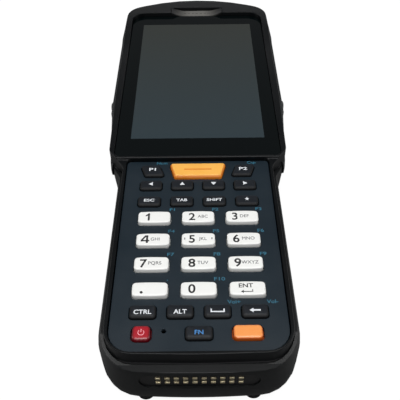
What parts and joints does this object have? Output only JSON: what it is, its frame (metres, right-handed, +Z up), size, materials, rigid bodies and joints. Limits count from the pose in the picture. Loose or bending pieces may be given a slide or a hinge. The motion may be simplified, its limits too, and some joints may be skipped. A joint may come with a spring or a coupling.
{
  "type": "portable barcode data terminal",
  "caption": "One-hand barcode data terminal: display head with rubber bumper and scan window, narrower keypad grip, lift-out battery and a contact dock in the bottom end.",
  "frame": {"origin": "centre of the footprint on the surface it lies on, under its feet and rear hump", "axes": "+Z up out of the display, +Y towards the head and its scan window, +X to the right of a user who reads the display"},
  "size_m": [0.0756, 0.2045, 0.0298],
  "materials": {
    "case_plastic": "fine moulded texture",
    "frame_plastic": "satin",
    "bumper_rubber": "soft overmoulded rubber",
    "seal_rubber": "plain",
    "cover_glass": "polished, black border printed behind",
    "gasket_foam": "foam",
    "display_panel": "dark screen, switched off",
    "grille_metal": "satin",
    "component_plastic": "plain",
    "panel_plastic": "satin dark blue-grey",
    "keypad_rubber": "silicone",
    "dome_steel": "plain",
    "circuit_board": "green solder mask",
    "chassis_metal": "die cast",
    "red_window": "deep red, clear",
    "lens_glass": "coated",
    "connector_plastic": "plain black",
    "gold_contacts": "gold plated",
    "battery_plastic": "fine moulded texture",
    "latch_plastic": "satin",
    "side_key_plastic": "firm rubber",
    "screw_steel": "blackened",
    "foot_rubber": "soft",
    "scan_key_amber": "satin amber",
    "blank_key_orange": "satin orange",
    "power_key_red": "satin red",
    "number_key_white": "satin white",
    "function_key_black": "gloss black"
  },
  "bodies": {
    "body": {"rear_case": "case_plastic", "front_frame": "frame_plastic", "head_bumper": "bumper_rubber", "case_seal": "seal_rubber", "display_glass": "cover_glass", "glass_gasket": "gasket_foam", "lcd_module": "display_panel", "receiver_grille": "grille_metal", "earpiece": "component_plastic", "keypad_panel": "panel_plastic", "keypad_mat": "keypad_rubber", "key_domes": "dome_steel", "keypad_board": "circuit_board", "mid_frame": "chassis_metal", "main_board": "circuit_board", "scan_engine": "component_plastic", "scan_window": "red_window", "camera_module": "component_plastic", "camera_window": "lens_glass", "speaker": "component_plastic", "vibration_motor": "dome_steel", "dock_connector": "connector_plastic", "dock_contacts": "gold_contacts", "battery_contacts": "gold_contacts", "case_screws": "screw_steel", "rubber_feet": "foot_rubber"},
    "battery": {"battery_pack": "battery_plastic"},
    "latch": {"battery_latch": "latch_plastic"},
    "side_key_left": {"side_key_left": "side_key_plastic"},
    "side_key_right": {"side_key_right": "side_key_plastic"},
    "key_1": {"key_1": "number_key_white"},
    "key_2": {"key_2": "number_key_white"},
    "key_3": {"key_3": "number_key_white"},
    "key_4": {"key_4": "number_key_white"},
    "key_5": {"key_5": "number_key_white"},
    "key_6": {"key_6": "number_key_white"},
    "key_7": {"key_7": "number_key_white"},
    "key_8": {"key_8": "number_key_white"},
    "key_9": {"key_9": "number_key_white"},
    "key_point": {"key_point": "number_key_white"},
    "key_0": {"key_0": "number_key_white"},
    "key_enter": {"key_enter": "number_key_white"},
    "key_left": {"key_left": "function_key_black"},
    "key_up": {"key_up": "function_key_black"},
    "key_down": {"key_down": "function_key_black"},
    "key_right": {"key_right": "function_key_black"},
    "key_esc": {"key_esc": "function_key_black"},
    "key_tab": {"key_tab": "function_key_black"},
    "key_shift": {"key_shift": "function_key_black"},
    "key_star": {"key_star": "function_key_black"},
    "key_ctrl": {"key_ctrl": "function_key_black"},
    "key_alt": {"key_alt": "function_key_black"},
    "key_space": {"key_space": "function_key_black"},
    "key_backspace": {"key_backspace": "function_key_black"},
    "key_scan": {"key_scan": "scan_key_amber"},
    "key_p1": {"key_p1": "function_key_black"},
    "key_p2": {"key_p2": "function_key_black"},
    "key_power": {"key_power": "power_key_red"},
    "key_fn": {"key_fn": "function_key_black"},
    "key_blank": {"key_blank": "blank_key_orange"}
  },
  "joints": [
    {"name": "battery_lift", "type": "slide", "parent": "body", "child": "battery", "axis": [0, 0, -1], "range_m": [0, 0.014]},
    {"name": "latch_slide", "type": "slide", "parent": "body", "child": "latch", "axis": [0, -1, 0], "range_m": [0, 0.0025]},
    {"name": "side_key_left_press", "type": "slide", "parent": "body", "child": "side_key_left", "axis": [1, 0, 0], "range_m": [0, 0.0006], "stiffness_N_per_m": 1800},
    {"name": "side_key_right_press", "type": "slide", "parent": "body", "child": "side_key_right", "axis": [-1, 0, 0], "range_m": [0, 0.0006], "stiffness_N_per_m": 1800},
    {"name": "key_1_press", "type": "slide", "parent": "body", "child": "key_1", "axis": [0, 0, -1], "range_m": [0, 0.0006], "stiffness_N_per_m": 1800},
    {"name": "key_2_press", "type": "slide", "parent": "body", "child": "key_2", "axis": [0, 0, -1], "range_m": [0, 0.0006], "stiffness_N_per_m": 1800},
    {"name": "key_3_press", "type": "slide", "parent": "body", "child": "key_3", "axis": [0, 0, -1], "range_m": [0, 0.0006], "stiffness_N_per_m": 1800},
    {"name": "key_4_press", "type": "slide", "parent": "body", "child": "key_4", "axis": [0, 0, -1], "range_m": [0, 0.0006], "stiffness_N_per_m": 1800},
    {"name": "key_5_press", "type": "slide", "parent": "body", "child": "key_5", "axis": [0, 0, -1], "range_m": [0, 0.0006], "stiffness_N_per_m": 1800},
    {"name": "key_6_press", "type": "slide", "parent": "body", "child": "key_6", "axis": [0, 0, -1], "range_m": [0, 0.0006], "stiffness_N_per_m": 1800},
    {"name": "key_7_press", "type": "slide", "parent": "body", "child": "key_7", "axis": [0, 0, -1], "range_m": [0, 0.0006], "stiffness_N_per_m": 1800},
    {"name": "key_8_press", "type": "slide", "parent": "body", "child": "key_8", "axis": [0, 0, -1], "range_m": [0, 0.0006], "stiffness_N_per_m": 1800},
    {"name": "key_9_press", "type": "slide", "parent": "body", "child": "key_9", "axis": [0, 0, -1], "range_m": [0, 0.0006], "stiffness_N_per_m": 1800},
    {"name": "key_point_press", "type": "slide", "parent": "body", "child": "key_point", "axis": [0, 0, -1], "range_m": [0, 0.0006], "stiffness_N_per_m": 1800},
    {"name": "key_0_press", "type": "slide", "parent": "body", "child": "key_0", "axis": [0, 0, -1], "range_m": [0, 0.0006], "stiffness_N_per_m": 1800},
    {"name": "key_enter_press", "type": "slide", "parent": "body", "child": "key_enter", "axis": [0, 0, -1], "range_m": [0, 0.0006], "stiffness_N_per_m": 1800},
    {"name": "key_left_press", "type": "slide", "parent": "body", "child": "key_left", "axis": [0, 0, -1], "range_m": [0, 0.0006], "stiffness_N_per_m": 1800},
    {"name": "key_up_press", "type": "slide", "parent": "body", "child": "key_up", "axis": [0, 0, -1], "range_m": [0, 0.0006], "stiffness_N_per_m": 1800},
    {"name": "key_down_press", "type": "slide", "parent": "body", "child": "key_down", "axis": [0, 0, -1], "range_m": [0, 0.0006], "stiffness_N_per_m": 1800},
    {"name": "key_right_press", "type": "slide", "parent": "body", "child": "key_right", "axis": [0, 0, -1], "range_m": [0, 0.0006], "stiffness_N_per_m": 1800},
    {"name": "key_esc_press", "type": "slide", "parent": "body", "child": "key_esc", "axis": [0, 0, -1], "range_m": [0, 0.0006], "stiffness_N_per_m": 1800},
    {"name": "key_tab_press", "type": "slide", "parent": "body", "child": "key_tab", "axis": [0, 0, -1], "range_m": [0, 0.0006], "stiffness_N_per_m": 1800},
    {"name": "key_shift_press", "type": "slide", "parent": "body", "child": "key_shift", "axis": [0, 0, -1], "range_m": [0, 0.0006], "stiffness_N_per_m": 1800},
    {"name": "key_star_press", "type": "slide", "parent": "body", "child": "key_star", "axis": [0, 0, -1], "range_m": [0, 0.0006], "stiffness_N_per_m": 1800},
    {"name": "key_ctrl_press", "type": "slide", "parent": "body", "child": "key_ctrl", "axis": [0, 0, -1], "range_m": [0, 0.0006], "stiffness_N_per_m": 1800},
    {"name": "key_alt_press", "type": "slide", "parent": "body", "child": "key_alt", "axis": [0, 0, -1], "range_m": [0, 0.0006], "stiffness_N_per_m": 1800},
    {"name": "key_space_press", "type": "slide", "parent": "body", "child": "key_space", "axis": [0, 0, -1], "range_m": [0, 0.0006], "stiffness_N_per_m": 1800},
    {"name": "key_backspace_press", "type": "slide", "parent": "body", "child": "key_backspace", "axis": [0, 0, -1], "range_m": [0, 0.0006], "stiffness_N_per_m": 1800},
    {"name": "key_scan_press", "type": "slide", "parent": "body", "child": "key_scan", "axis": [0, 0, -1], "range_m": [0, 0.0006], "stiffness_N_per_m": 1800},
    {"name": "key_p1_press", "type": "slide", "parent": "body", "child": "key_p1", "axis": [0, 0, -1], "range_m": [0, 0.0006], "stiffness_N_per_m": 1800},
    {"name": "key_p2_press", "type": "slide", "parent": "body", "child": "key_p2", "axis": [0, 0, -1], "range_m": [0, 0.0006], "stiffness_N_per_m": 1800},
    {"name": "key_power_press", "type": "slide", "parent": "body", "child": "key_power", "axis": [0, 0, -1], "range_m": [0, 0.0006], "stiffness_N_per_m": 1800},
    {"name": "key_fn_press", "type": "slide", "parent": "body", "child": "key_fn", "axis": [0, 0, -1], "range_m": [0, 0.0006], "stiffness_N_per_m": 1800},
    {"name": "key_blank_press", "type": "slide", "parent": "body", "child": "key_blank", "axis": [0, 0, -1], "range_m": [0, 0.0006], "stiffness_N_per_m": 1800}
  ]
}
